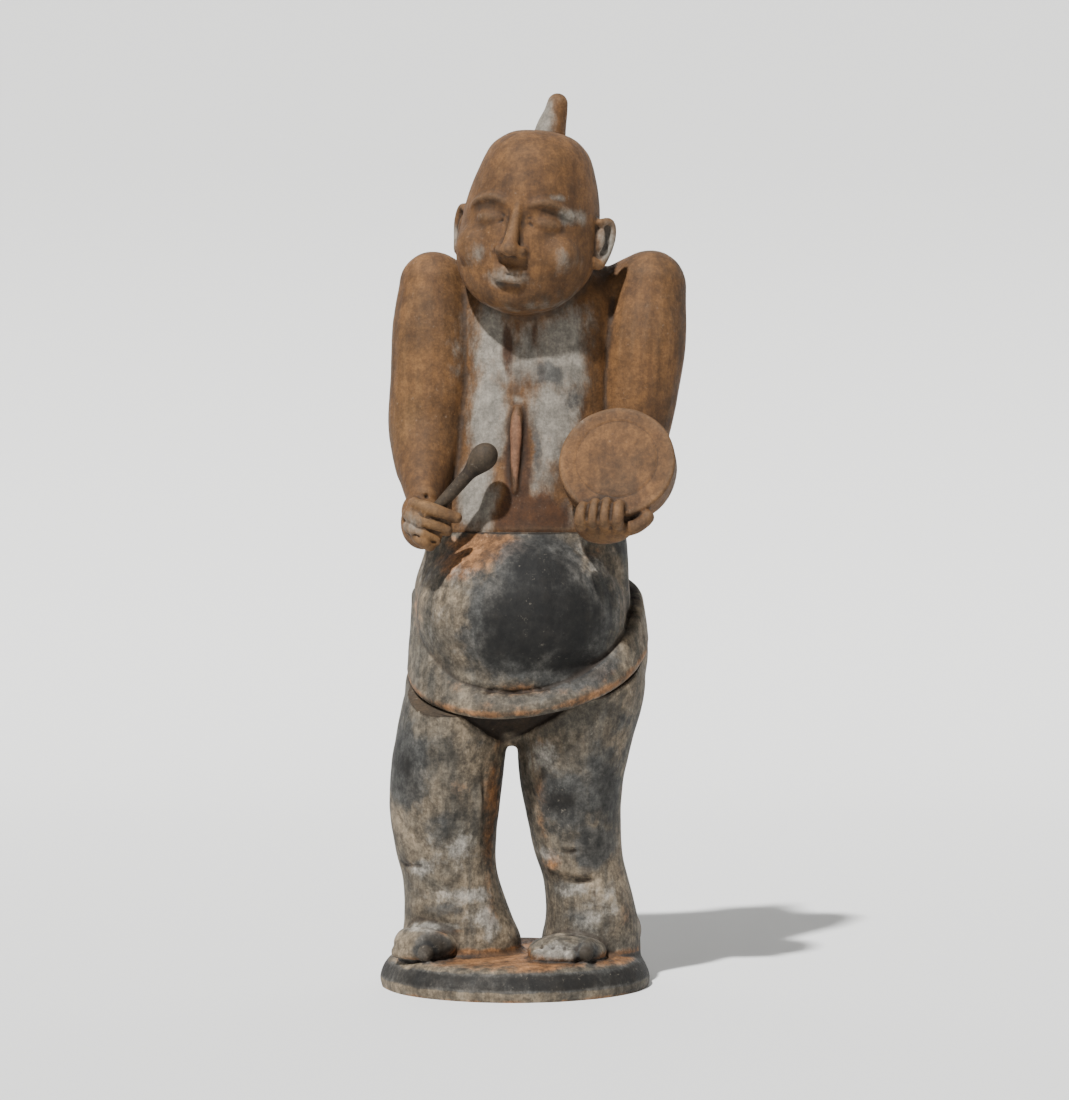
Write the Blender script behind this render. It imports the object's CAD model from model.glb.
# %% [markdown]
# # A clay drummer, built of stacked sections
# The figure is fired clay: legs on an oval base, a belly with the rolled waist of the trousers, and
# an upper body that holds a flat drum and a loose drum stick. Clay sections like these are lifted
# onto each other, so the seams show. The lesson models each section as a potter would, by pressing
# soft lumps together, and paints it with layers of smoke, chalk and earth.

import math

import bmesh
import bpy
import numpy as np
from mathutils import Euler, Matrix, Vector


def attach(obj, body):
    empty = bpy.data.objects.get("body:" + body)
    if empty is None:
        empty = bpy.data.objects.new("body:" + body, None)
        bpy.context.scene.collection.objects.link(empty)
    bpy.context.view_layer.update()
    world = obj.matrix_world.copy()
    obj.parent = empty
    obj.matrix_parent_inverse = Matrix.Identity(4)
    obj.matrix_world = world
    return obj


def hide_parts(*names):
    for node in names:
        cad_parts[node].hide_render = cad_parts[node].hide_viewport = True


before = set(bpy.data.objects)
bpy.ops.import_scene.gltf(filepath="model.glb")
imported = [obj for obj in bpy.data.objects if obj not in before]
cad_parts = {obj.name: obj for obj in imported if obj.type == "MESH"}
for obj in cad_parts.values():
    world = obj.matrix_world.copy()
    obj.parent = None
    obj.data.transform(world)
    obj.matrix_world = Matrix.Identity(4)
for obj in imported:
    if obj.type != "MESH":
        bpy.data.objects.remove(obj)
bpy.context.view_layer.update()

# %% [markdown]
# ## Sizes
# A figure is easiest to describe as shares of its height, because every proportion then stays the
# same when the height changes. Here a place on the body is given in thousandths of the figure's
# height without its base, from the middle of the base's top. X runs to the figure's left, and Y to
# its back. The base, the drum and the stick have their own sizes in metres.

# %% Sizes
FIGURE_HEIGHT = 1.446
THOUSANDTH = FIGURE_HEIGHT / 1000
BASE_WIDTH = 0.457
BASE_DEPTH = 0.420
BASE_HEIGHT = 0.054
DRUM_DIAMETER = 0.190
DRUM_THICKNESS = 0.046
DRUM_RIM = DRUM_DIAMETER / 2 / THOUSANDTH
DRUM_FRONT = DRUM_THICKNESS / 2 / THOUSANDTH
ROLL_RADIUS = 0.016 / THOUSANDTH
STICK_LENGTH = 0.176
STICK_SHAFT_DIAMETER = 0.022
STICK_HEAD_DIAMETER = 0.044
STICK_DEPTH_IN_FIST = 0.044
ROUGH_GRAIN = 0.004  # the distance in metres between points of a first, rough skin
FACE_GRAIN = 0.0032
SKIN_GRAIN = 0.003
HAND_GRAIN = 0.0026
LEG_TRIANGLES = 150000
UPPER_BODY_TRIANGLES = 185000
SECTION_GAP = 0.0003
WAIST_SEAM = 490
WAIST_MIDDLE = (15, -12)
HIP_SEAM = 340
HIP_MIDDLE = (15, -5)
HIP_RISE_TO_BACK = 0.494
HIP_RISE_TO_LEFT = 0.128
BAND_HALF_WIDTH = 141
BAND_HALF_DEPTH = 127
HIP_BAND_RISE = 36
RIGHT_EDGE_RISE = 40
HEAD_MIDDLE = (17, -50, 842)
HEAD_TURN = (4, 8, -12)
DRUM_MIDDLE = (116, -126, 564)
DRUM_TILT = 21
DRUM_TURN = 8


def turned(degrees):
    return Euler([math.radians(angle) for angle in degrees])


BODY = Matrix.LocRotScale(Vector((0, 0, BASE_HEIGHT)), None, Vector((THOUSANDTH,) * 3))
HEAD = BODY @ Matrix.LocRotScale(Vector(HEAD_MIDDLE), turned(HEAD_TURN), None)
DRUM = BODY @ Matrix.LocRotScale(Vector(DRUM_MIDDLE), turned((90 - DRUM_TILT, 0, -DRUM_TURN)), None)
STICK_AXIS = Vector((50, -7, 55)).normalized()
STICK_FOOT = BODY @ Vector((-85, -108, 520)) - STICK_AXIS * STICK_DEPTH_IN_FIST
STICK = Matrix.LocRotScale(STICK_FOOT, STICK_AXIS.to_track_quat("Z", "Y"), None)
print("one thousandth of the height is", round(THOUSANDTH * 1000, 3), "mm")

# %% [markdown]
# ## Rolls and lumps of clay
# Every soft form here is one of three things. An egg is a sphere stretched three ways. A limb is a
# ring extruded along a path with a rounded end at each side. A stack is a pile of oval rings. Only a
# few rings are set by hand, and a smooth curve fills in between them, which keeps the numbers few
# and the outline even.

# %% Rolls and lumps


def smooth_keys(keys, steps=5):
    """Values on a smooth curve through hand-set keys."""
    keys = [np.array(key, float) for key in keys]
    padded = [2 * keys[0] - keys[1], *keys, 2 * keys[-1] - keys[-2]]
    values = []
    for before, start, end, after in zip(padded, padded[1:], padded[2:], padded[3:]):
        for step in range(steps):
            t = step / steps
            bend = 2 * before - 5 * start + 4 * end - after
            sway = 3 * start - before - 3 * end + after
            values.append(start + 0.5 * ((end - before) * t + bend * t**2 + sway * t**3))
    return [*values, keys[-1]]


def added(clay, lump):
    """Puts a finished lump among the others. Small meshes are quick to work on, large ones slow."""
    mesh = bpy.data.meshes.new("lump")
    lump.to_mesh(mesh)
    lump.free()
    clay.from_mesh(mesh)
    bpy.data.meshes.remove(mesh)


def sweep(clay, places, sides=32):
    """Extrudes a closed ring through placing matrices, and closes both ends."""
    lump = bmesh.new()
    ring = bmesh.ops.create_circle(lump, cap_ends=True, segments=sides, radius=1)["verts"]
    bmesh.ops.transform(lump, matrix=places[0], verts=ring)
    edges = {edge for vert in ring for edge in vert.link_edges}
    for last, place in zip(places, places[1:]):
        made = bmesh.ops.extrude_edge_only(lump, edges=list(edges))["geom"]
        ring = {item for item in made if isinstance(item, bmesh.types.BMVert)}
        edges = {e for v in ring for e in v.link_edges if ring.issuperset(e.verts)}
        bmesh.ops.transform(lump, matrix=place @ last.inverted(), verts=list(ring))
    bmesh.ops.contextual_create(lump, geom=list(edges))
    bmesh.ops.recalc_face_normals(lump, faces=lump.faces)
    added(clay, lump)


def stack(clay, rings, place=BODY):
    """Oval rings: each is x, y, z, half width, half depth."""
    ovals = []
    for x, y, z, half_width, half_depth in smooth_keys(rings):
        size = Vector((half_width, half_depth, 1))
        ovals.append(place @ Matrix.LocRotScale(Vector((x, y, z)), None, size))
    sweep(clay, ovals)


def egg(clay, middle, radii, turn=(0, 0, 0), place=BODY):
    own = place @ Matrix.LocRotScale(Vector(middle), turned(turn), Vector(radii))
    lump = bmesh.new()
    bmesh.ops.create_uvsphere(lump, u_segments=28, v_segments=16, radius=1, matrix=own)
    added(clay, lump)


def limb(clay, keys, place=BODY):
    """A round form along a path: each key is x, y, z, radius."""
    values = smooth_keys(keys)
    points = [Vector(value[:3]) for value in values]
    heading = points[1] - points[0]
    turn = heading.to_track_quat("Z", "Y")
    rings = []
    for index, (point, value) in enumerate(zip(points, values)):
        ahead = points[min(index + 1, len(points) - 1)] - points[max(index - 1, 0)]
        turn = heading.rotation_difference(ahead) @ turn
        heading = ahead
        rings.append(place @ Matrix.LocRotScale(point, turn, Vector((value[3], value[3], 1))))
    sweep(clay, rings, sides=20)
    for end, radius in ((points[0], values[0][3]), (points[-1], values[-1][3])):
        egg(clay, end, (radius,) * 3, place=place)


print("three ways to roll clay: egg, limb, stack")

# %% [markdown]
# ## One skin
# The Remesh modifier in voxel mode turns overlapping lumps into one closed skin, as wet clay joins
# when it is pressed. A Smooth modifier then rubs the joints soft. Forms that should blend, such as an
# arm into a shoulder, are joined first and rubbed a lot. Crisp ones, such as fingers, are added to
# that rough form and rubbed little. A weak Displace with a cloud texture leaves the skin uneven, as
# hand-built clay is. A tool mark is a path that pushes nearby points inwards along their normals.

# %% One skin


def applied(obj):
    """Turns an object's modifiers into plain mesh."""
    graph = bpy.context.evaluated_depsgraph_get()
    mesh = bpy.data.meshes.new_from_object(obj.evaluated_get(graph))
    obj.modifiers.clear()
    obj.data = mesh
    return obj


def fused(name, clay, grain, soften, rough=None, uneven=0.0):
    """Joins lumps, and a rough form, into one skin of that grain in metres."""
    if rough:
        clay.from_mesh(rough.data)
        bpy.data.objects.remove(rough)
    mesh = bpy.data.meshes.new(name)
    clay.to_mesh(mesh)
    clay.free()
    obj = bpy.data.objects.new(name, mesh)
    bpy.context.scene.collection.objects.link(obj)
    skin = obj.modifiers.new("one skin", "REMESH")
    skin.mode = "VOXEL"
    skin.voxel_size = grain
    rub = obj.modifiers.new("rubbed", "SMOOTH")
    rub.factor = 0.5
    rub.iterations = soften
    if uneven:
        lumpy = obj.modifiers.new("hand-built", "DISPLACE")
        lumpy.texture = bpy.data.textures.get("clouds") or bpy.data.textures.new("clouds", "CLOUDS")
        lumpy.texture.noise_scale = 0.06
        lumpy.texture.noise_depth = 1
        lumpy.strength = uneven
        lumpy.mid_level = 0.5
    return applied(obj)


def column(obj, name):
    """The points' places or normals as an array."""
    values = np.empty(len(obj.data.vertices) * 3)
    obj.data.vertices.foreach_get(name, values)
    return values.reshape(-1, 3)


def press(obj, path, width, depth, place=BODY, taper=0.0):
    """Presses a groove along a path, with width and depth in thousandths. A negative depth raises.

    taper is the share of the path over which each end fades out."""
    points = [np.array(place @ Vector(point)) for point in path]
    where, normals = column(obj, "co"), column(obj, "normal")
    lengths = [np.linalg.norm(end - start) for start, end in zip(points, points[1:])]
    away = np.full(len(where), np.inf)
    along_path = np.zeros(len(where))
    passed = 0.0
    for start, end, length in zip(points, points[1:], lengths):
        along = end - start
        share = np.clip((where - start) @ along / length**2, 0, 1)
        distance = np.linalg.norm(where - start - share[:, None] * along, axis=1)
        along_path = np.where(distance < away, (passed + share * length) / sum(lengths), along_path)
        away = np.minimum(away, distance)
        passed += length
    fall = np.exp(-((away / (width * THOUSANDTH / 2)) ** 2))
    if taper:
        fall *= np.clip(np.minimum(along_path, 1 - along_path) / taper, 0, 1)
    where -= normals * (fall * depth * THOUSANDTH)[:, None]
    obj.data.vertices.foreach_set("co", where.ravel())
    obj.data.update()


def thinned(obj, faces):
    """Leaves about that many triangles, most of them where the form bends."""
    obj.data.calc_loop_triangles()
    fewer = obj.modifiers.new("fewer faces", "DECIMATE")
    fewer.ratio = min(1, faces / len(obj.data.loop_triangles))
    return applied(obj)


def sliced(obj, point, normal, inside=None):
    """Cuts off what lies beyond a plane and closes the cut. inside picks the part that is cut."""
    clay = bmesh.new()
    clay.from_mesh(obj.data)
    faces = [f for f in clay.faces if inside is None or inside(f.calc_center_median())]
    geom = {v for f in faces for v in f.verts} | {e for f in faces for e in f.edges} | set(faces)
    bmesh.ops.bisect_plane(
        clay, geom=list(geom), plane_co=point, plane_no=normal, clear_outer=True, dist=1e-5
    )
    rim = [edge for edge in clay.edges if edge.is_boundary]
    bmesh.ops.holes_fill(clay, edges=rim, sides=0)
    clay.to_mesh(obj.data)
    clay.free()
    obj.data.update()
    return obj


print("tools: fused, press, thinned, sliced")

# %% [markdown]
# ## The hip seam
# The legs and the belly meet on a slanting plane that is low at the front and high at the back. Both
# sections ask the same function for its height, so they always fit.

# %% Hip seam
HIP_NORMAL = Vector((-HIP_RISE_TO_LEFT, -HIP_RISE_TO_BACK, 1)).normalized()


def hip_height(x, y):
    return HIP_SEAM + HIP_RISE_TO_LEFT * x + HIP_RISE_TO_BACK * y


def hip_ring(width, depth, steps=48):
    """Points round the hips that follow the seam."""
    ring = []
    for step in range(steps + 1):
        angle = math.tau * step / steps
        x = HIP_MIDDLE[0] + width * math.cos(angle)
        y = HIP_MIDDLE[1] + depth * math.sin(angle)
        ring.append((x, y, hip_height(x, y)))
    return ring


print("hip seam height at belly and back:", round(hip_height(15, -130)), round(hip_height(15, 120)))

# %% [markdown]
# ## Legs on their base
# The base is an oval disc whose side leans in. Each trouser leg is a stack that narrows at the shin
# and widens again over the foot. Two eggs fill the seat of the trousers and two more the heels, and a
# low roll is raised where each thigh meets the crotch. The feet are added after the legs have been
# rubbed smooth, so their toes stay crisp.

# %% Legs and base
clay = bmesh.new()
base_side = ((0.97, -0.3), (0.98, 0.0), (1.0, 0.2), (0.985, 0.45), (0.955, 0.72), (0.91, 0.92))
base_top = ((0.84, 1.0), (0.45, 1.03), (0.02, 1.04))
base_rings = []
for share, height in base_side + base_top:
    size = Vector((BASE_WIDTH / 2 * share, BASE_DEPTH / 2 * share, 1))
    base_rings.append(Matrix.LocRotScale(Vector((0, 0, height * BASE_HEIGHT)), None, size))
sweep(clay, base_rings, sides=72)
right_leg = (
    (-63, 4, -12, 69, 60), (-62, 3, 16, 70, 62), (-66, 1, 42, 63, 60), (-74.5, -2, 86, 56.5, 58),
    (-80.5, -4, 118, 58.5, 60), (-82.5, -8, 165, 64, 66), (-79, -12, 215, 66, 74), (-72, -12, 262, 65, 84),
    (-62, -8, 310, 64, 96), (-52, 0, 345, 58, 100),
)
left_leg = (
    (89, 4, -12, 57, 60), (89, 3, 16, 58, 62), (90, 1, 42, 54, 59), (83, -2, 86, 50, 58),
    (74, -4, 118, 51.5, 60), (68, -8, 165, 55.5, 66), (66, -12, 210, 62, 74), (72, -12, 262, 69, 84),
    (79, -6, 310, 73, 98), (80, 0, 350, 70, 106),
)
seat = (
    (-2, 12, 243, 56, 48), (2, 12, 264, 118, 76), (8, 8, 292, 136, 104), (14, 4, 330, 140, 119),
    (16, 4, 370, 139, 122), (15, 8, 430, 130, 112),
)
for rings in (right_leg, left_leg, seat):
    stack(clay, rings)
egg(clay, (-48, 54, 312), (74, 62, 78))
egg(clay, (76, 56, 324), (74, 62, 80))
egg(clay, (-60, 34, 20), (60, 46, 38), turn=(0, 0, 20))
egg(clay, (96, 32, 22), (54, 48, 40), turn=(0, 0, -15))
rough_legs = fused("rough legs", clay, ROUGH_GRAIN, soften=14)
press(rough_legs, ((-92, -84, 303), (-52, -98, 278), (-17, -90, 246)), 12, -3, taper=0.2)
press(rough_legs, ((80, -88, 306), (42, -98, 281), (8, -90, 248)), 12, -3, taper=0.2)
clay = bmesh.new()
egg(clay, (-102, -44, 16), (38, 42, 25))
egg(clay, (60, -58, 9), (46, 38, 20))
RIGHT_TOES = ((-135, -68), (-129, -76), (-122, -82), (-115, -87))
LEFT_TOES = ((24, -96), (37, -101), (50, -104), (63, -105))
for x, tip in RIGHT_TOES + LEFT_TOES:
    limb(clay, ((x + 2, tip + 24, 13, 6), (x, tip + 12, 11, 6), (x, tip + 7, 8, 5.4)))
for x, tip, radius in ((-101, -93, 12), (81, -106, 10.5)):
    end = (x - 1, tip + 13, 11, 0.9 * radius)
    limb(clay, ((x + 3, tip + 34, 16, radius), (x, tip + 22, 14, radius), end))
for toes in (RIGHT_TOES, LEFT_TOES):
    limb(clay, [(x, tip + 9.5, 8.5, 7.2) for x, tip in toes])
legs = fused("clay_legs", clay, SKIN_GRAIN, soften=3, rough=rough_legs, uneven=0.003)
print("legs and base", len(legs.data.polygons), "faces")

# %% [markdown]
# ## Folds in the trousers
# Cloth that piles up over a foot makes pairs: a raised roll with a hollow line beneath it. Each row
# of the list is one of these, a path with its width and its depth, and a negative depth raises the
# clay. Pressing them after the section is one skin leaves its outline nearly alone. The triangle
# between the thighs is set back a little, and lines are pressed between the toes and along the seam.

# %% Folds
FOLDS = (
    (((-134, -20, 104), (-124, -45, 104), (-104, -58, 107)), 8, 4),
    (((-134, -25, 76), (-122, -46, 74), (-106, -58, 76), (-78, -64, 80), (-54, -64, 62)), 8, 3),
    (((-108, -60, 95), (-70, -66, 92), (-36, -60, 81)), 16, -3),
    (((-132, -20, 58), (-104, -58, 56), (-70, -64, 54), (-44, -60, 44)), 16, -3),
    (((-136, -16, 34), (-118, -50, 36), (-92, -64, 40), (-70, -64, 34), (-58, -62, 16)), 9, 7),
    (((-30, -58, 82), (-20, -50, 54), (-2, -40, 30)), 8, 3),
    (((44, -62, 124), (60, -66, 121), (74, -66, 126)), 7, 5),
    (((22, -30, 104), (46, -58, 101), (72, -66, 100), (100, -60, 105)), 17, -5),
    (((16, -16, 92), (40, -52, 89), (66, -62, 87), (100, -60, 92)), 8, 5),
    (((34, -50, 66), (64, -62, 62), (94, -62, 65)), 7, 3.5),
    (((88, -62, 84), (94, -62, 66), (91, -62, 48)), 7, 3.5),
    (((106, -52, 82), (115, -48, 56), (112, -46, 30)), 34, -5),
    (((30, -46, 40), (54, -60, 38), (76, -62, 44)), 14, -3),
    (((26, -40, 26), (46, -58, 25), (66, -62, 26), (86, -62, 14), (104, -54, 4), (136, -26, 0)), 8, 6),
    (((-44, -64, 222), (-40, -62, 176), (-38, -56, 134), (-35, -54, 96)), 13, -4),
    (((-36, -70, 222), (-32, -60, 176), (-30, -56, 134), (-27, -54, 96)), 8, 4),
)


def in_crotch(where):
    """From 0 at the tops of the thighs to 1 inside the dark triangle between them."""
    x, y, z = where.T
    from_right = (z - 243) * 66 + (x + 14) * 50
    from_left = (z - 249) * 67 - x * 42
    inside = np.minimum(from_right / 83, from_left / 79)
    inward = np.clip((x + 80) / 22, 0, 1) * np.clip((72 - x) / 22, 0, 1)
    return np.clip(inside / 5, 0, 1) * np.clip((-40 - y) / 20, 0, 1) * inward


def in_thousandths(obj):
    return (column(obj, "co") - (0, 0, BASE_HEIGHT)) / THOUSANDTH


CROTCH_DEPTH = 8
where = column(legs, "co")
where[:, 1] += CROTCH_DEPTH * THOUSANDTH * in_crotch(in_thousandths(legs))
legs.data.vertices.foreach_set("co", where.ravel())
for path, width, depth in FOLDS:
    press(legs, path, width, depth, taper=0.25)
for toes in (RIGHT_TOES, LEFT_TOES):
    for (x, tip), (next_x, next_tip) in zip(toes, toes[1:]):
        between = (x + next_x) / 2
        press(legs, ((between, tip + 18, 21), (between, (tip + next_tip) / 2 + 1, 8)), 3, 1.8)
press(legs, hip_ring(141, 125), 5, 2)
legs = sliced(legs, BODY @ Vector((0, 0, HIP_SEAM)) - HIP_NORMAL * SECTION_GAP, HIP_NORMAL)
legs = sliced(legs, Vector((0, 0, 0)), (0, 0, -1))
legs = thinned(legs, LEG_TRIANGLES)
print("legs with folds", len(legs.data.polygons), "faces")

# %% [markdown]
# ## The belly and the rolled waist
# The belly is one large egg in front of an oval trunk, and a second egg fills the small of the back.
# The waist of the trousers is a roll that lies on the seam. It is a single roll under the belly and
# grows into a broad band round the hips, so it is made of rings whose spacing grows towards the back.
# One more ring, set inwards, fills the gap between the roll and the trunk.

# %% Belly section
clay = bmesh.new()
trunk = (
    (15, -11.5, 505, 113, 75), (13, -14, 468, 118.5, 80), (9, -15, 438, 124, 86), (8, -13, 410, 127, 92),
    (9, -6, 380, 128, 98), (10, -2, 350, 130, 117), (11, 0, 322, 130, 119), (12, 4, 298, 128, 112),
    (12, 5, 240, 126, 106),
)
stack(clay, trunk)
egg(clay, (7, -39, 396), (122, 103, 105))
egg(clay, (14, 44, 378), (114, 66, 62))
rough_belly = fused("rough belly", clay, ROUGH_GRAIN, soften=12)


def band_place(angle, share, inset=0):
    """A place on the waistband: the seam at share 0, its upper edge at share 1."""
    x = HIP_MIDDLE[0] + (BAND_HALF_WIDTH - 5 * share - inset - ROLL_RADIUS) * math.cos(angle)
    y = HIP_MIDDLE[1] + (BAND_HALF_DEPTH - 5 * share - inset - ROLL_RADIUS) * math.sin(angle)
    backwards = (1 + math.sin(angle)) / 2
    rise = 3 + HIP_BAND_RISE * min(1, 2.2 * backwards) + RIGHT_EDGE_RISE * max(0, -math.cos(angle)) ** 6
    return x, y, hip_height(x, y) + 0.9 * ROLL_RADIUS + rise * share


clay = bmesh.new()
for share, inset in (*((step / 12, 0) for step in range(13)), (0, 15)):
    ring = [band_place(math.tau * step / 32, share, inset) for step in range(33)]
    limb(clay, [(*place, ROLL_RADIUS) for place in ring])
belly = fused("clay_belly", clay, SKIN_GRAIN, soften=4, rough=rough_belly, uneven=0.003)
under = []
for step in range(-9, 10):
    x, y, z = band_place(math.radians(-90 + 11 * step), 1, inset=5)
    under.append((x, y, z + (0.6 + 0.5 * abs(step) / 9) * ROLL_RADIUS))
press(belly, under, 8, 6, taper=0.1)
press(belly, hip_ring(139, 125), 4, 1.6)
belly = sliced(belly, BODY @ Vector((0, 0, WAIST_SEAM)), (0, 0, 1))
belly = sliced(belly, BODY @ Vector((0, 0, HIP_SEAM)), -HIP_NORMAL)
print("belly section", len(belly.data.polygons), "faces")

# %% [markdown]
# ## Chest, arms and head
# These masses flow into each other, so they are joined and rubbed first: a flat chest, the yoke of
# the hunched shoulders, the neck, and a head like a broad egg that leans to one side. The eye sockets
# are pressed into the rough head, because a lid needs a hollow to sit in. The two heavy arms are laid
# on after that, so a crease stays between them and the chest.

# %% Chest, arms and head
clay = bmesh.new()
chest = (
    (15, -12, 470, 117, 79), (16, -12, 520, 111, 74), (19, -9, 590, 98, 68), (22, -4, 660, 92, 66),
    (26, 2, 730, 98, 68), (30, 8, 770, 96, 60), (30, 10, 792, 78, 46),
)
stack(clay, chest)
yoke = (
    (-95, 4, 779, 39), (-58, 16, 760, 41), (0, 20, 780, 46), (56, 20, 776, 46), (106, 16, 758, 42),
    (158, 4, 778, 42),
)
neck = ((28, 6, 740, 64), (28, 6, 790, 64), (24, -12, 830, 60))
for keys in (yoke, neck):
    limb(clay, keys)
head = (
    (0, 10, 110, 8, 10), (0, 10, 106, 32, 36), (0, 10, 96, 48, 56), (0, 10, 82, 59.5, 70),
    (0, 10, 50, 70.5, 82), (0, 8, 20, 77.5, 86), (0, 4, -10, 80, 84), (0, -2, -34, 81, 80),
    (0, -8, -52, 77, 72), (0, -16, -67, 69, 61), (0, -24, -81, 57, 50), (0, -30, -93, 40, 36),
    (0, -32, -102, 12, 12),
)
stack(clay, head, place=HEAD)
egg(clay, (0, -58, -81), (24, 16, 16), place=HEAD)
for side in (-1, 1):
    egg(clay, (42 * side, -50, -30), (30, 24, 28), place=HEAD)
rough_body = fused("rough_core", clay, ROUGH_GRAIN, soften=14)
for side in (-1, 1):
    socket = ((16 * side, -76, 7), (32 * side, -72, 7), (48 * side, -62, 5))
    press(rough_body, socket, 28, 3.6, place=HEAD)
clay = bmesh.new()
right_arm = (
    (-95, 0, 777, 40), (-97.5, -8, 722, 46), (-97, -10, 665, 48), (-101, -14, 615, 47),
    (-103, -38, 573, 38), (-104, -64, 547, 27), (-104, -84, 529, 20),
)
left_arm = (
    (157, 0, 776, 43), (151, -8, 722, 49), (145.5, -10, 665, 47), (139, -14, 615, 43),
    (132, -34, 570, 36), (122, -62, 535, 27), (111, -90, 508, 20), (104, -128, 496, 17),
)
for keys in (right_arm, left_arm):
    limb(clay, keys)
print("rough upper body", len(rough_body.data.polygons), "faces")

# %% [markdown]
# ## The face
# The face is calm and follows the proportions in any drawing book: the eye line is half way up the
# head, the nose ends a little over a third of the way from there to the chin, and the mouth lies about
# a third of the way from the nose to the chin. The lids are lowered, so each eye is one rounded lump,
# which later gets a line for the lashes.

# %% Face
limb(clay, ((0, -71, 25, 6.5), (0, -78, 8, 6.5), (0, -85, -10, 7.5), (0, -91, -26, 9)), place=HEAD)
egg(clay, (0, -93, -29), (10.5, 10.5, 8.5), place=HEAD)
lower_lip = ((-19, -76, -60, 3), (-9, -79, -62, 5), (9, -79, -62, 5), (19, -76, -60, 3))
limb(clay, lower_lip, place=HEAD)
for side in (-1, 1):
    egg(clay, (11.5 * side, -84, -31), (7, 9, 6.2), place=HEAD)
    egg(clay, (32 * side, -62, 3), (18.5, 11, 10), turn=(0, 0, 20 * side), place=HEAD)
    brow = (
        (8 * side, -72, 19, 4.5), (20 * side, -72, 25, 5.2), (34 * side, -68, 27, 5),
        (50 * side, -58, 22, 3.8), (60 * side, -48, 14, 3),
    )
    upper_lip = (
        (0, -80.5, -53.5, 3.8), (5 * side, -81, -52.5, 4.2), (15 * side, -78.5, -53, 3.6),
        (27 * side, -71, -52.5, 2.6),
    )
    for keys in (brow, upper_lip):
        limb(clay, keys, place=HEAD)
rough_body = fused("rough_arms_and_face", clay, FACE_GRAIN, soften=6, rough=rough_body)
print("arms and face", len(rough_body.data.polygons), "faces")

# %% [markdown]
# ## Ears and topknot
# An ear is a bowl with a rolled rim. The rim is a limb that runs round a small egg, and the hollow is
# pressed later. The topknot is a short horn of hair that leans to one side. The breastbone is a thin
# limb laid on the chest.

# %% Ears and topknot
clay = bmesh.new()
EARS = ((-1, -3, 2), (1, 4, 5))
for side, out, lift in EARS:
    rim = (
        (76, -8, -36, 5), (82, -2, -40, 6), (87, 8, -26, 5.5), (90, 12, -6, 5.5),
        (87, 9, 9, 5), (78, -3, 8, 5),
    )
    limb(clay, [((x + out) * side, y, z + lift, r) for x, y, z, r in rim], place=HEAD)
    egg(clay, ((79 + out) * side, 4, lift - 14), (8, 12, 22), turn=(0, 0, 24 * side), place=HEAD)
topknot = ((36, -14, 925, 21), (41, -10, 955, 18.5), (47, -8, 976, 14), (49.5, -8, 988, 12))
breastbone = (
    (3, -71, 630, 5), (2, -75, 616, 7.5), (1, -79, 590, 6.5), (0, -82, 560, 5), (0, -84, 536, 2.5),
)
for keys in (topknot, breastbone):
    limb(clay, keys)
print("with ears, topknot and breastbone", len(clay.verts), "points")

# %% [markdown]
# ## The hands and the drum
# The right hand is a lump with four fingers that wrap round where the stick goes. The left palm
# carries the drum on its edge, and its fingers come up over the drum's face. Working in the drum's own
# frame makes this simple, because there the face is flat and looks along Z.

# %% Hands and drum
FIST_FINGERS = (  # each is the knuckle's x and z, and the tip's x and z
    (-114, 521, -66, 506), (-120, 510, -77, 492), (-120, 497, -90, 481), (-111, 486, -96, 475),
)
DRUM_FINGERS = ((-37, 10), (-24, 14), (-11, 15), (3, 11))  # each is x and how far the tip reaches up
egg(clay, (-104, -97, 500), (26, 24, 30))
egg(clay, (-112, -92, 512), (17, 20, 22))
for knuckle_x, knuckle_z, tip_x, tip_z in FIST_FINGERS:
    finger = (
        (knuckle_x + 4, -92, knuckle_z + 1, 7.5), (knuckle_x + 1, -112, knuckle_z, 8),
        (0.55 * knuckle_x + 0.45 * tip_x, -126, (knuckle_z + tip_z) / 2 + 1, 8),
        (tip_x, -120, tip_z, 7),
    )
    limb(clay, finger)
drum_profile = (
    (0.5, -1.0), (0.985, -1.0), (1.0, -0.86), (1.0, 0.0), (1.0, 0.84), (0.99, 0.95), (0.965, 1.0),
    (0.5, 1.0),
)
drum_rings = []
for share, height in drum_profile:
    size = Vector((DRUM_RIM * share, DRUM_RIM * share, 1))
    drum_rings.append(DRUM @ Matrix.LocRotScale(Vector((0, 0, height * DRUM_FRONT)), None, size))
sweep(clay, drum_rings, sides=96)
egg(clay, (-13, -DRUM_RIM - 7, -6), (32, 17, 22), place=DRUM)
egg(clay, (-8, -DRUM_RIM + 22, -DRUM_FRONT - 6), (28, 34, 10), place=DRUM)
for x, reach in DRUM_FINGERS:
    finger = (
        (x, -DRUM_RIM - 8, -2, 8), (x, -DRUM_RIM - 7, DRUM_FRONT + 2, 8),
        (x + 1, -DRUM_RIM + 4, DRUM_FRONT + 6, 7.2), (x + 2, -DRUM_RIM + reach, DRUM_FRONT + 3, 6.2),
    )
    limb(clay, finger, place=DRUM)
thumb = (
    (8, -DRUM_RIM - 8, -4, 10), (22, -DRUM_RIM - 8, 2, 8.5), (32, -DRUM_RIM - 3, 6, 8),
    (36, -DRUM_RIM + 1, 8, 8),
)
limb(clay, thumb, place=DRUM)
body = fused("clay_upper_body", clay, HAND_GRAIN, soften=3, rough=rough_body, uneven=0.002)
print("upper body", len(body.data.polygons), "faces")

# %% [markdown]
# ## Fine tool marks
# The last marks are drawn with a thin tool: the lines of the lids, nostrils and closed mouth, the
# hollow of each ear, the lines between the fingers, a ring on the drum's face, shallow dips in the
# chest, and the small hole in the wrist that lets air out in the kiln. Then the section is cut off
# flat at the waist, where it stands on the belly.

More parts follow.
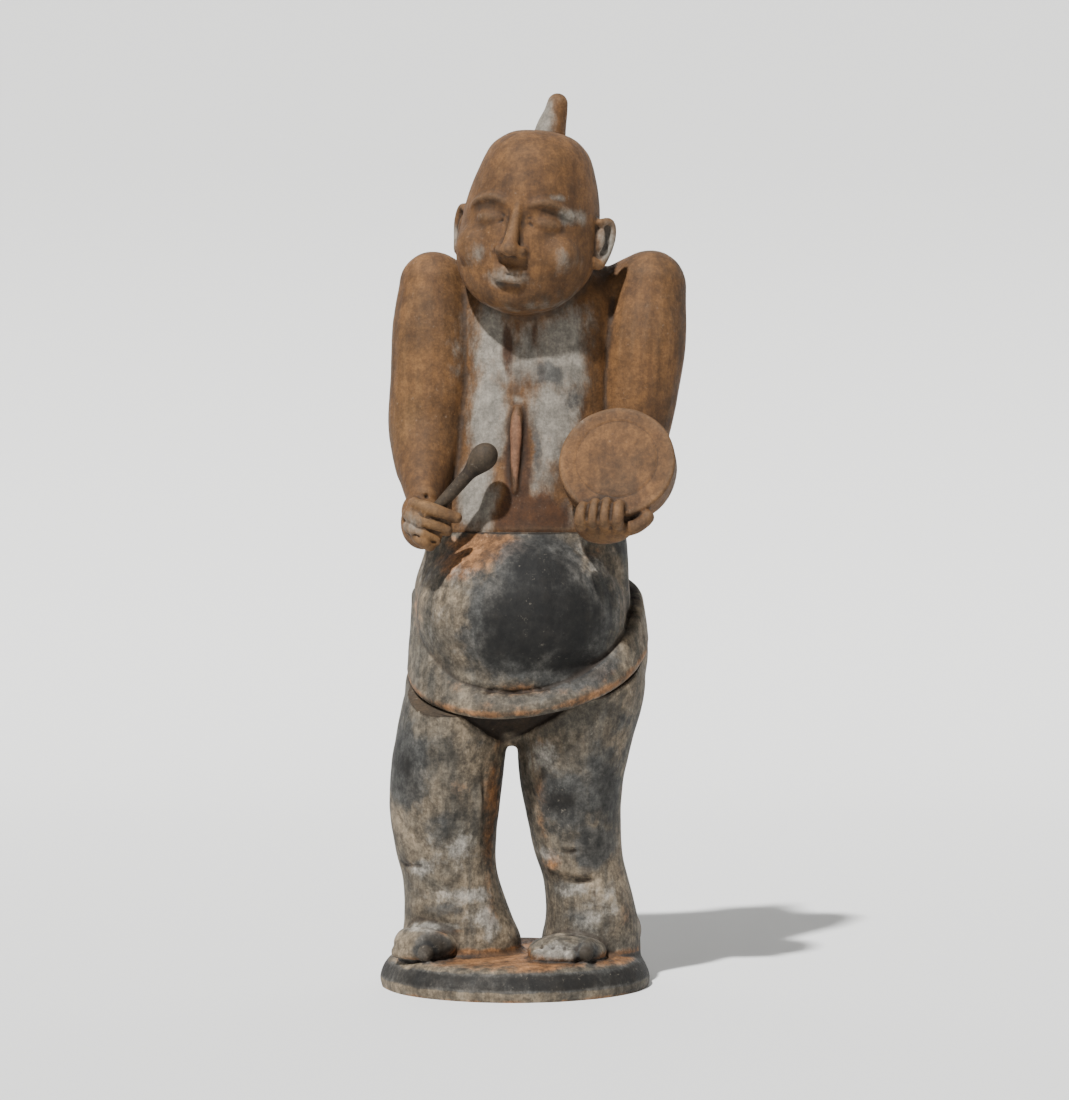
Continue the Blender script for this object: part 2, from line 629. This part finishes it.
# %% Tool marks
for side in (-1, 1):
    lash = (
        (16 * side, -74, 2), (23 * side, -77, -2), (32 * side, -77, -3.5), (40 * side, -73, -2.5),
        (48 * side, -66, 1),
    )
    fold = (
        (15 * side, -74, 8), (24 * side, -76, 13), (33 * side, -75, 14), (42 * side, -70, 12),
        (51 * side, -60, 6),
    )
    nostril = ((6.5 * side, -92, -37), (7 * side, -90, -38))
    beside_nose = ((21 * side, -80, -33), (26 * side, -76, -42))
    for path, width, depth in ((lash, 3.2, 2.3), (fold, 2.8, 1.6), (nostril, 5, 4), (beside_nose, 7, 0.8)):
        press(body, path, width, depth, place=HEAD)
mouth = ((-30, -69, -53), (-15, -79, -57), (0, -83, -57.5), (15, -79, -57), (30, -69, -53))
above_lip = ((0, -88, -41), (0, -85, -49))
below_lip = ((-12, -78, -70), (0, -80, -71), (12, -78, -70))
for path, width, depth in ((mouth, 3, 2), (above_lip, 4.5, 1.4), (below_lip, 7, 2)):
    press(body, path, width, depth, place=HEAD)
for side, out, lift in EARS:
    bowl = ((84, -3, -26), (88, 2, -14), (86, 2, 1))
    bowl = [((x + out) * side, y, z + lift) for x, y, z in bowl]
    press(body, bowl, 9, 4, place=HEAD)
for upper, lower in zip(FIST_FINGERS, FIST_FINGERS[1:]):
    knuckle_x, knuckle_z, tip_x, tip_z = (np.array(upper) + np.array(lower)) / 2
    line = (
        (knuckle_x - 7, -108, knuckle_z),
        (0.55 * knuckle_x + 0.45 * tip_x - 6, -133, (knuckle_z + tip_z) / 2 + 1),
        (tip_x + 4, -126, tip_z),
    )
    press(body, line, 3.2, 3)
for (x, _), (next_x, _) in zip(DRUM_FINGERS, DRUM_FINGERS[1:]):
    between = (x + next_x) / 2
    line = (
        (between, -DRUM_RIM - 12, DRUM_FRONT + 9), (between + 1, -DRUM_RIM + 4, DRUM_FRONT + 12),
        (between + 2, -DRUM_RIM + 18, DRUM_FRONT + 7),
    )
    press(body, line, 3.2, 2.6, place=DRUM)
ring_radius = 0.7 * DRUM_RIM
ring = []
for angle in np.linspace(0, math.tau, 73):
    ring.append((ring_radius * math.cos(angle), ring_radius * math.sin(angle) + 2, DRUM_FRONT))
press(body, ring, 2.6, 0.9, place=DRUM)
pit_above_breastbone = ((-2, -72, 662), (-2, -73, 660))
press(body, pit_above_breastbone, 6, 3)
for side in (-1, 1):
    beside_breastbone = ((28 * side, -72, 646), (25 * side, -78, 600), (16 * side, -84, 540))
    press(body, beside_breastbone, 30, 1.1, taper=0.3)
middle_of_chest = ((6, -66, 730), (4, -68, 690), (2, -72, 650))
press(body, middle_of_chest, 30, 3, taper=0.3)
vent = ((-100, -104, 531), (-100, -103, 530))
press(body, vent, 4, 5)
waist_rim = []
for angle in np.linspace(0, math.tau, 49):
    x, y = WAIST_MIDDLE[0] + 116 * math.cos(angle), WAIST_MIDDLE[1] + 78 * math.sin(angle)
    waist_rim.append((x, y, WAIST_SEAM))
press(body, waist_rim, 5, 1.6)


def in_trunk(point):
    """True near the waist and inside the trunk's oval, so that the hands aren't cut."""
    x, y, z = BODY.inverted() @ point
    return z < 520 and ((x - WAIST_MIDDLE[0]) / 126) ** 2 + ((y - WAIST_MIDDLE[1]) / 87) ** 2 < 1


body = sliced(body, BODY @ Vector((0, 0, WAIST_SEAM)), (0, 0, -1), in_trunk)
body = thinned(body, UPPER_BODY_TRIANGLES)
print("upper body with tool marks", len(body.data.polygons), "faces")

# %% [markdown]
# ## The drum stick
# A turned shape is a profile spun round an axis. The profile is one line of edges, from the foot up
# the shaft and over the rounded head, and bmesh's spin turns it in 48 steps.

# %% Drum stick
shaft = STICK_SHAFT_DIAMETER / 2
bulb = STICK_HEAD_DIAMETER / 2
neck_at = STICK_LENGTH - 1.5 * STICK_HEAD_DIAMETER
profile = [(0.0, 0.0), (shaft * 0.8, 0.0), (shaft * 0.9, 0.002)]
profile += [(shaft * 0.95, neck_at / 2), (shaft, neck_at)]
for step in range(1, 15):
    t = step / 14
    radius = shaft + (bulb - shaft) * t * t * (3 - 2 * t)
    profile.append((radius, neck_at + 0.93 * STICK_HEAD_DIAMETER * t))
cap = STICK_LENGTH - profile[-1][1]
for step in range(1, 13):
    angle = math.pi / 2 * step / 12
    profile.append((bulb * math.cos(angle), STICK_LENGTH - cap + cap * math.sin(angle)))
clay = bmesh.new()
line = [clay.verts.new((radius, 0, height)) for radius, height in profile]
edges = [clay.edges.new(pair) for pair in zip(line, line[1:])]
bmesh.ops.spin(
    clay, geom=line + edges, cent=(0, 0, 0), axis=(0, 0, 1), angle=math.tau, steps=48,
    use_merge=True,
)
bmesh.ops.remove_doubles(clay, verts=clay.verts, dist=1e-5)
bmesh.ops.recalc_face_normals(clay, faces=clay.faces)
bmesh.ops.transform(clay, matrix=STICK, verts=clay.verts)
stick_mesh = bpy.data.meshes.new("drum stick")
clay.to_mesh(stick_mesh)
clay.free()
stick = bpy.data.objects.new("clay_stick", stick_mesh)
bpy.context.scene.collection.objects.link(stick)
print("drum stick", len(stick.data.polygons), "faces")

# %% [markdown]
# ## Stains and worn places
# Smoke in the kiln blackens some places, chalk was brushed on others, and rain leaves earth in the
# seams. Each of these is a layer of soft spots stored on the points as an attribute, in thousandths
# of the height like the shapes. The last layer is measured and not painted: a point that lies below
# its neighbours' average is in a hollow.

# %% Stains


def stain(obj, layer, spots, lines=(), more=0.0):
    """Soft spots, each x, y, z, three radii and a strength, and lines that follow the hip seam.

    A line is its height above the seam, its half width and its strength."""
    where = in_thousandths(obj)
    amount = np.zeros(len(where)) + more
    above = where[:, 2] - hip_height(where[:, 0], where[:, 1])
    for height, half, strength in lines:
        amount = np.maximum(amount, strength * np.exp(-(((above - height) / half) ** 2)))
    for x, y, z, wide, deep, tall, strength in spots:
        away = (((where - (x, y, z)) / (wide, deep, tall)) ** 2).sum(axis=1)
        amount = np.maximum(amount, strength * np.exp(-away))
    paint = obj.data.attributes.new(layer, "FLOAT", "POINT")
    paint.data.foreach_set("value", amount.astype(np.float32))


DEEPEST = 0.0015


def hollows(obj, reach):
    """How deep each point lies below its surroundings, from -1 on a ridge to 1 in a hollow."""
    where, normals = column(obj, "co"), column(obj, "normal")
    pairs = np.empty(len(obj.data.edges) * 2, int)
    obj.data.edges.foreach_get("vertices", pairs)
    one, other = pairs[0::2], pairs[1::2]
    count = np.bincount(one, minlength=len(where)) + np.bincount(other, minlength=len(where))
    count = np.maximum(count, 1)
    flat = where.copy()
    for _ in range(reach):
        for axis in range(3):
            total = np.bincount(one, flat[other, axis], len(where))
            total += np.bincount(other, flat[one, axis], len(where))
            flat[:, axis] = total / count
    depth = ((flat - where) * normals).sum(axis=1)
    paint = obj.data.attributes.new("hollow", "FLOAT", "POINT")
    paint.data.foreach_set("value", np.clip(depth / DEEPEST, -1, 1).astype(np.float32))


upright = np.clip((0.86 - column(legs, "normal")[:, 2]) / 0.3, 0, 1)
base_height = in_thousandths(legs)[:, 2]
smoked_side = upright * np.clip((5 - base_height) / 4, 0, 1) * np.clip((base_height + 29) / 6, 0, 1)
stain(legs, "smoke", (
    (-122, -40, 226, 34, 70, 54, 2.2), (-60, -60, 262, 46, 40, 34, 1.1), (-96, -60, 58, 48, 40, 14, 1.2),
    (-96, -80, 16, 22, 34, 20, 2.3), (60, -70, 184, 36, 60, 42, 1.9), (100, -60, 200, 36, 60, 66, 1.7),
    (92, -60, 128, 30, 60, 32, 1.9), (112, -60, 276, 50, 60, 26, 1.2), (62, -60, 52, 26, 40, 14, 1.0),
    (84, -100, 12, 20, 26, 14, 2.2), (-86, -60, 150, 26, 40, 26, 1.0), (-70, 90, 170, 60, 60, 60, 0.9),
    (70, 90, 250, 70, 50, 90, 1.0), (-20, -60, 276, 74, 40, 26, 0.9), (-60, -60, 190, 24, 40, 20, 0.9),
    (-90, -60, 300, 40, 40, 16, 0.9), (150, 20, 200, 30, 60, 90, 1.0),
), more=1.9 * smoked_side)
stain(legs, "chalk", (
    (-70, -70, 130, 40, 40, 30, 1.1), (36, -60, 234, 22, 40, 22, 1.8), (70, -60, 250, 40, 40, 16, 1.1),
    (60, -60, 78, 44, 40, 12, 1.6), (-110, -60, 104, 22, 40, 12, 1.5), (-108, -60, 196, 16, 40, 40, 1.0),
    (30, -60, 120, 26, 40, 14, 1.5), (-60, -60, 74, 60, 40, 14, 1.4), (-96, -60, 36, 44, 40, 7, 1.7),
    (-30, -60, 40, 34, 40, 30, 1.3), (96, -60, 60, 44, 40, 50, 0.9), (46, -100, 14, 36, 26, 14, 1.6),
    (0, 90, 80, 150, 40, 40, 0.6), (90, -50, 320, 50, 40, 30, 0.7), (-70, -60, 286, 40, 40, 20, 0.6),
))
stain(legs, "ochre", (
    (-26, -50, 150, 18, 40, 130, 1.2), (30, -60, 180, 12, 40, 80, 0.9), (0, 0, 3, 190, 176, 10, 2.0),
    (0, 0, -42, 260, 240, 8, 1.8), (-122, -60, 106, 24, 40, 6, 1.1), (-120, -60, 76, 24, 40, 6, 1.1),
    (40, -60, 112, 22, 40, 18, 1.0), (130, -50, 60, 20, 50, 70, 0.9), (100, -60, 4, 50, 40, 9, 1.1),
    (-90, -60, 32, 50, 40, 5, 0.9), (-230, 0, -10, 40, 100, 30, 1.0), (230, 0, -10, 40, 100, 30, 0.9),
    (44, -60, 270, 14, 40, 26, 0.9), (-60, -60, 190, 24, 40, 50, 0.7),
))
stain(legs, "earth", (
    (-100, -54, 2, 60, 40, 4, 0.9), (84, -60, -1, 60, 40, 4, 0.9), (-34, -30, 230, 10, 40, 40, 0.7),
), lines=((1, 3.5, 1.5),), more=2.2 * in_crotch(in_thousandths(legs)))
groove = [(x, y, z, 14, 16, 4, 1.2) for x, y, z in under]
stain(belly, "earth", (
    *groove, (138, 10, 430, 14, 60, 30, 1.0), (0, 0, WAIST_SEAM, 500, 500, 2.5, 1.4),
), lines=((-1, 2.5, 1.3),))
stain(belly, "smoke", (
    (16, -140, 390, 74, 80, 70, 2.7), (60, -120, 392, 56, 70, 66, 2.6), (-16, -130, 368, 50, 70, 40, 2.2),
    (30, -120, 446, 60, 70, 42, 2.4), (60, -110, 346, 56, 60, 32, 2.4),
    (40, -100, 462, 46, 60, 40, 1.6), (100, -60, 440, 30, 60, 40, 0.7), (120, -30, 476, 26, 60, 30, 1.6),
    (-116, -30, 478, 18, 60, 26, 1.3), (10, 90, 430, 120, 50, 60, 0.9), (80, -110, 350, 40, 50, 24, 0.8),
    (-60, -120, 350, 24, 50, 18, 0.7), (-10, -110, 426, 50, 60, 40, 1.2),
))
stain(belly, "chalk", (
    (-90, -90, 400, 26, 60, 56, 0.6), (-70, -110, 360, 36, 50, 20, 0.6), (92, -90, 450, 18, 60, 26, 1.2),
    (106, -80, 396, 16, 60, 40, 1.0), (60, -110, 318, 50, 50, 12, 0.8), (-30, -110, 320, 50, 50, 12, 0.8),
    (74, -100, 476, 16, 60, 14, 1.1), (14, 100, 370, 130, 40, 40, 0.6), (-104, -60, 440, 14, 60, 40, 0.9),
    (-60, -110, 440, 30, 60, 30, 0.7),
))
stain(belly, "ochre", (
    (-40, -110, 474, 52, 70, 20, 2.4), (-64, -110, 456, 34, 70, 20, 2.2), (-86, -100, 456, 30, 60, 34, 0.9),
    (0, -110, 312, 100, 60, 12, 1.0), (86, -90, 470, 30, 60, 20, 0.9), (-112, -60, 400, 12, 60, 50, 0.9),
    (0, -150, 292, 150, 60, 14, 0.9), (100, -100, 330, 40, 60, 20, 0.7),
), lines=((10, 8, 1.1),))
stain(body, "smoke", (
    (44, -80, 672, 30, 30, 18, 1.7), (66, -80, 640, 20, 30, 22, 1.3), (-50, -70, 690, 14, 30, 12, 0.8),
    (58, -80, 520, 12, 30, 50, 0.9), (10, 90, 700, 90, 50, 80, 0.8), (-10, -70, 640, 14, 30, 10, 0.9),
    (24, -80, 590, 8, 30, 60, 1.2), (24, -70, 760, 60, 40, 22, 0.9), (172, 0, 560, 20, 60, 60, 0.6),
    (-118, 10, 560, 20, 60, 60, 0.5), (90, -60, 580, 12, 30, 60, 0.8),
))
stain(body, "chalk", (
    (-26, -70, 700, 32, 50, 60, 2.2), (-34, -70, 630, 28, 50, 70, 2.2), (56, -80, 700, 42, 50, 60, 2.2),
    (50, -80, 630, 40, 50, 50, 2.0), (-44, -80, 540, 30, 50, 60, 2.1), (34, -80, 570, 24, 50, 70, 1.6),
    (70, -80, 510, 20, 40, 22, 1.2), (16, -70, 690, 40, 50, 50, 1.5), (-62, -60, 700, 14, 30, 60, 1.2),
    (84, -60, 720, 16, 40, 60, 1.1), (6, -70, 642, 16, 30, 10, 1.1), (-74, -60, 650, 12, 40, 80, 0.8),
    (-10, -120, 776, 46, 30, 14, 1.3), (54, -110, 796, 26, 30, 20, 1.1), (64, -110, 846, 22, 40, 14, 1.5),
    (-46, -110, 804, 18, 40, 18, 1.1), (-76, -50, 832, 10, 40, 26, 2.4), (104, -40, 820, 16, 40, 32, 2.8),
    (30, -10, 950, 16, 40, 50, 2.6), (-112, -120, 500, 16, 30, 24, 1.1), (-100, -40, 770, 10, 40, 30, 0.4),
    (-70, -110, 870, 14, 30, 8, 0.9), (50, -120, 866, 24, 30, 6, 1.2), (10, -150, 790, 12, 20, 8, 0.8),
))
stain(body, "ochre", (
    (4, -80, 566, 17, 40, 70, 2.3), (-8, -70, 700, 8, 30, 40, 1.5), (20, -90, 508, 44, 40, 28, 2.3),
    (22, -70, 716, 8, 30, 26, 1.1), (-80, -60, 560, 8, 40, 70, 1.1), (60, 80, 620, 80, 40, 70, 0.6),
    (-14, -70, 625, 8, 40, 12, 1.0),
))
stain(body, "umber", (
    (170, 0, 700, 60, 80, 140, 0.9), (116, -40, 790, 60, 60, 30, 0.8), (150, -20, 600, 50, 60, 60, 0.8),
    (90, -60, 690, 14, 40, 90, 0.9), (0, 0, 489, 500, 110, 3, 1.3), (22, -70, 760, 70, 50, 30, 0.9),
    (60, 60, 860, 60, 80, 60, 0.6), (112, -150, 570, 90, 40, 80, 0.75),
    (-58, -60, 680, 8, 40, 90, 0.8),
))
stain(body, "red", ((1, -88, 592, 8, 20, 34, 1.3), (1, -88, 560, 4, 20, 26, 1.2)))
stain(body, "worn", (
    (160, -60, 590, 30, 80, 30, 0.9), (-120, -20, 640, 30, 60, 110, 1.0),
    (-60, -100, 960, 80, 60, 40, 0.3), (0, -120, 900, 60, 40, 20, 0.6),
    (-104, -120, 500, 30, 40, 40, 1.2), (96, -160, 490, 50, 40, 24, 0.8),
))
for piece in (legs, belly, body, stick):
    hollows(piece, 10)
for piece in (legs, belly, body):
    painted = [layer.name for layer in piece.data.attributes if layer.data_type == "FLOAT"]
    print(piece.name, "has the layers", painted)

# %% [markdown]
# ## Fired clay as a material
# The material starts from two earth colours mixed by noise, and a third runs down in streaks. Each
# stain is then laid over it where its layer, broken up by more noise, passes a threshold, so the
# edges are ragged like real smoke and chalk. A stretch below 1 along Z draws the noise out downwards,
# as rain does. Hollows are darkened, ridges rubbed a little paler, and fine noise drives the colour
# and the bump. Object coordinates fix the pattern to the piece.

# %% Clay material


def add(tree, kind, feeds=(), **settings):
    """Makes a node. feeds pairs an input with a value or with another node's output."""
    made = tree.nodes.new(kind)
    for name, value in settings.items():
        setattr(made, name, value)
    for socket, feed in feeds:
        if isinstance(feed, bpy.types.NodeSocket):
            tree.links.new(feed, made.inputs[socket])
        else:
            made.inputs[socket].default_value = feed
    return made


def noise(tree, place, scale, detail=5, stretch=(1, 1, 1), lean=0, roughness=0.6):
    """Noise from 0 to 1 on the object's own coordinates. lean turns its grain sideways, in degrees."""
    turn = (0, math.radians(lean), 0)
    moved = add(tree, "ShaderNodeMapping", (("Vector", place), ("Scale", stretch), ("Rotation", turn)))
    made = add(
        tree, "ShaderNodeTexNoise",
        (("Vector", moved.outputs[0]), ("Scale", scale), ("Detail", detail), ("Roughness", roughness)),
    )
    return made.outputs["Fac"]


def ranged(tree, value, low, high, to_low=0.0, to_high=1.0):
    """Moves a value from one range to another, softly at both ends."""
    names = ("Value", "From Min", "From Max", "To Min", "To Max")
    feeds = zip(names, (value, low, high, to_low, to_high))
    return add(tree, "ShaderNodeMapRange", feeds, interpolation_type="SMOOTHSTEP").outputs[0]


def maths(tree, operation, first, second):
    return add(tree, "ShaderNodeMath", ((0, first), (1, second)), operation=operation).outputs[0]


def mixed(tree, amount, under, over, blend="MIX"):
    made = add(tree, "ShaderNodeMix", (), data_type="RGBA", blend_type=blend)
    for socket, feed in ((0, amount), (6, under), (7, over)):
        if isinstance(feed, bpy.types.NodeSocket):
            tree.links.new(feed, made.inputs[socket])
        else:
            made.inputs[socket].default_value = (*feed, 1) if isinstance(feed, tuple) else feed
    return made.outputs[2]


def grey(tree, value):
    return add(tree, "ShaderNodeCombineColor", ((0, value), (1, value), (2, value))).outputs[0]


CHIPPED = (0.2, 0.175, 0.14)
IN_HOLLOWS = (0.016, 0.01, 0.006)
RUBBED = (0.2, 0.145, 0.09)
RAGGEDNESS = 3.2


def clay_material(name, light, dark, streak, layers, rough_look=1.0):
    """layers are (attribute, colour, threshold, softness, opacity, noise scale, stretch)."""
    material = bpy.data.materials.new(name)
    material.use_nodes = True
    tree = material.node_tree
    shader = tree.nodes["Principled BSDF"]
    place = add(tree, "ShaderNodeTexCoord").outputs["Object"]
    colour = mixed(tree, ranged(tree, noise(tree, place, 7, 6), 0.38, 0.62), light, dark)
    runs = ranged(tree, noise(tree, place, 34, 5, (1, 1, 0.08)), 0.45, 0.66, 0, 0.75)
    colour = mixed(tree, runs, colour, streak)
    for layer, tint, threshold, soft, opacity, scale, stretch in layers:
        amount = add(tree, "ShaderNodeAttribute", (), attribute_name=layer).outputs["Fac"]
        ragged = noise(tree, place, scale, 10, stretch, roughness=0.68)
        wobble = maths(tree, "MULTIPLY", maths(tree, "SUBTRACT", ragged, 0.5), RAGGEDNESS)
        mask = ranged(tree, maths(tree, "ADD", amount, wobble), threshold, threshold + soft, 0, opacity)
        colour = mixed(tree, mask, colour, tint)
    # Mottling at two sizes, slanted scuffs, and pale flecks where the skin is chipped
    for scale, low, high in ((22, 0.34, 0.4), (64, 0.36, 0.45)):
        spread = noise(tree, place, scale, 8, roughness=0.74)
        mottle = ranged(tree, spread, low, 1 - low, 1 - high * rough_look, 1 + high * rough_look)
        colour = mixed(tree, 1.0, colour, grey(tree, mottle), "MULTIPLY")
    scuffs = noise(tree, place, 70, 6, (1, 1, 0.16), lean=38, roughness=0.7)
    marks = ranged(tree, scuffs, 0.3, 0.72, 1 - 0.3 * rough_look, 1 + 0.3 * rough_look)
    colour = mixed(tree, 1.0, colour, grey(tree, marks), "MULTIPLY")
    chips = ranged(tree, noise(tree, place, 120, 6, roughness=0.7), 0.6, 0.7, 0, 0.4 * rough_look)
    patches = ranged(tree, noise(tree, place, 12, 4), 0.42, 0.6)
    colour = mixed(tree, maths(tree, "MULTIPLY", chips, patches), colour, CHIPPED)
    # Earth in the hollows, ridges rubbed paler, and a fine grain over everything
    hollow = add(tree, "ShaderNodeAttribute", (), attribute_name="hollow").outputs["Fac"]
    colour = mixed(tree, ranged(tree, hollow, 0.08, 0.9, 0, 0.7), colour, IN_HOLLOWS)
    ridge = ranged(tree, maths(tree, "MULTIPLY", hollow, -1), 0.12, 0.9, 0, 0.1)
    colour = mixed(tree, ridge, colour, RUBBED)
    grain = noise(tree, place, 240, 4)
    colour = mixed(tree, 1.0, colour, grey(tree, ranged(tree, grain, 0.3, 0.7, 0.84, 1.14)), "MULTIPLY")
    tree.links.new(colour, shader.inputs["Base Color"])
    shader.inputs["Roughness"].default_value = 0.78
    shader.inputs["Specular IOR Level"].default_value = 0.3
    fine = add(tree, "ShaderNodeBump", (("Height", grain), ("Strength", 0.3), ("Distance", 0.002)))
    scratches = maths(tree, "MULTIPLY", scuffs, 0.25 * rough_look)
    scraped = maths(tree, "ADD", noise(tree, place, 40, 6), scratches)
    coarse = add(
        tree, "ShaderNodeBump",
        (("Height", scraped), ("Strength", 0.45), ("Distance", 0.005), ("Normal", fine.outputs[0])),
    )
    tree.links.new(coarse.outputs[0], shader.inputs["Normal"])
    return material


RUN_DOWN = (1, 1, 0.3)
FLAT = (1, 1, 1)
SOOT = (0.0034, 0.003, 0.0024)
smoked = clay_material(
    "smoked clay", (0.13, 0.1, 0.066), (0.058, 0.05, 0.038), (0.04, 0.036, 0.029),
    (
        ("ochre", (0.155, 0.068, 0.023), 0.6, 0.8, 0.85, 16, FLAT),
        ("chalk", (0.2, 0.185, 0.16), 0.55, 0.9, 0.8, 30, (1, 1, 0.8)),
        ("smoke", (0.034, 0.034, 0.032), 0.5, 0.7, 0.88, 16, (1, 1, 0.8)),
        ("smoke", SOOT, 1.1, 1.0, 0.95, 13, (1, 1, 0.8)),
        ("earth", (0.014, 0.008, 0.0035), 0.6, 0.5, 0.96, 20, FLAT),
    ),
)
brown = clay_material(
    "brown clay", (0.108, 0.05, 0.0165), (0.072, 0.034, 0.0115), (0.056, 0.0255, 0.009),
    (
        ("worn", (0.125, 0.064, 0.022), 0.5, 0.8, 0.7, 9, RUN_DOWN),
        ("umber", (0.038, 0.021, 0.0095), 0.4, 0.9, 0.8, 12, (1, 1, 0.5)),
        ("chalk", (0.165, 0.15, 0.125), 0.55, 1.2, 0.92, 24, (1, 1, 0.5)),
        ("smoke", (0.042, 0.041, 0.038), 0.6, 0.7, 0.85, 24, (1, 1, 0.6)),
        ("ochre", (0.037, 0.0135, 0.0034), 0.6, 0.8, 0.94, 18, RUN_DOWN),
        ("red", (0.15, 0.068, 0.036), 0.5, 0.5, 0.85, 30, RUN_DOWN),
    ),
    rough_look=0.5,
)
dark = clay_material(
    "dark clay", (0.022, 0.014, 0.0075), (0.012, 0.008, 0.0045), (0.03, 0.02, 0.011), (),
    rough_look=0.9,
)
for piece, material, slot, node in (
    (legs, smoked, "smoked_clay", "legs_and_base"),
    (belly, smoked, "smoked_clay", "belly_section"),
    (body, brown, "brown_clay", "upper_body"),
    (stick, dark, "dark_clay", "drum_stick"),
):
    piece.data.materials.clear()
    piece.data.materials.append(material)
    piece.data.shade_smooth()
    piece.data.set_sharp_from_angle(angle=math.radians(50))
    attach(piece, "root")
    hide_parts(node)
print("materials:", smoked.name, brown.name, dark.name)

# %% [markdown]
# ## Floor, light and camera
# The floor is a sheet of pale paper that curves up behind the figure, so no horizon shows. A profile
# of a few points is extruded sideways for it. The key light is a sun lamp, high, in front and a
# little to the camera's left, and a sun wider than the real one gives softer shadow edges. The pale
# world fills the shadows. A long lens from five metres away keeps the figure's proportions natural.

# %% Floor, light and camera
PAPER_FRONT, BEND_STARTS, BEND_RADIUS, PAPER_TOP, PAPER_WIDTH = -14, 3, 2, 9, 24
SUN_DIRECTION = Vector((1.5, 3.3, -4.6))
CAMERA_PLACE = Vector((0, -5, 0.766))
LOOKED_AT = Vector((0.0329, 0, 0.7323))
clay = bmesh.new()
paper_line = [(PAPER_FRONT, 0), (BEND_STARTS, 0)]
for angle in np.linspace(0, math.pi / 2, 13)[1:]:
    height = BEND_RADIUS - BEND_RADIUS * math.cos(angle)
    paper_line.append((BEND_STARTS + BEND_RADIUS * math.sin(angle), height))
paper_line.append((BEND_STARTS + BEND_RADIUS, PAPER_TOP))
line = [clay.verts.new((-PAPER_WIDTH / 2, y, z)) for y, z in paper_line]
edges = [clay.edges.new(pair) for pair in zip(line, line[1:])]
paper = bmesh.ops.extrude_edge_only(clay, edges=edges)["geom"]
paper_edge = [item for item in paper if isinstance(item, bmesh.types.BMVert)]
bmesh.ops.translate(clay, vec=(PAPER_WIDTH, 0, 0), verts=paper_edge)
bmesh.ops.recalc_face_normals(clay, faces=clay.faces)
floor_mesh = bpy.data.meshes.new("floor")
clay.to_mesh(floor_mesh)
clay.free()
floor_mesh.shade_smooth()
floor = bpy.data.objects.new("floor", floor_mesh)
bpy.context.scene.collection.objects.link(floor)
pale = bpy.data.materials.new("pale paper")
pale.use_nodes = True
paper_shader = pale.node_tree.nodes["Principled BSDF"]
paper_shader.inputs["Base Color"].default_value = (0.68, 0.68, 0.67, 1)
paper_shader.inputs["Roughness"].default_value = 0.95
floor.data.materials.append(pale)

world = bpy.data.worlds.new("pale studio")
world.use_nodes = True
background = world.node_tree.nodes["Background"]
background.inputs["Color"].default_value = (1, 1, 1, 1)
background.inputs["Strength"].default_value = 0.2
bpy.context.scene.world = world
sun = bpy.data.lights.new("key light", "SUN")
sun.energy = 8.5
sun.angle = math.radians(2.5)
key = bpy.data.objects.new("key light", sun)
key.location = (-1.3, -3.6, 5)
key.rotation_euler = SUN_DIRECTION.to_track_quat("-Z", "Y").to_euler()
bpy.context.scene.collection.objects.link(key)

lens = bpy.data.cameras.new("long lens")
lens.lens = 97
lens.sensor_width = 36
camera = bpy.data.objects.new("camera", lens)
camera.location = CAMERA_PLACE
camera.rotation_euler = (LOOKED_AT - CAMERA_PLACE).to_track_quat("-Z", "Y").to_euler()
bpy.context.scene.collection.objects.link(camera)
bpy.context.scene.camera = camera
print("camera at", tuple(round(value, 3) for value in CAMERA_PLACE), "with a lens of", lens.lens, "mm")
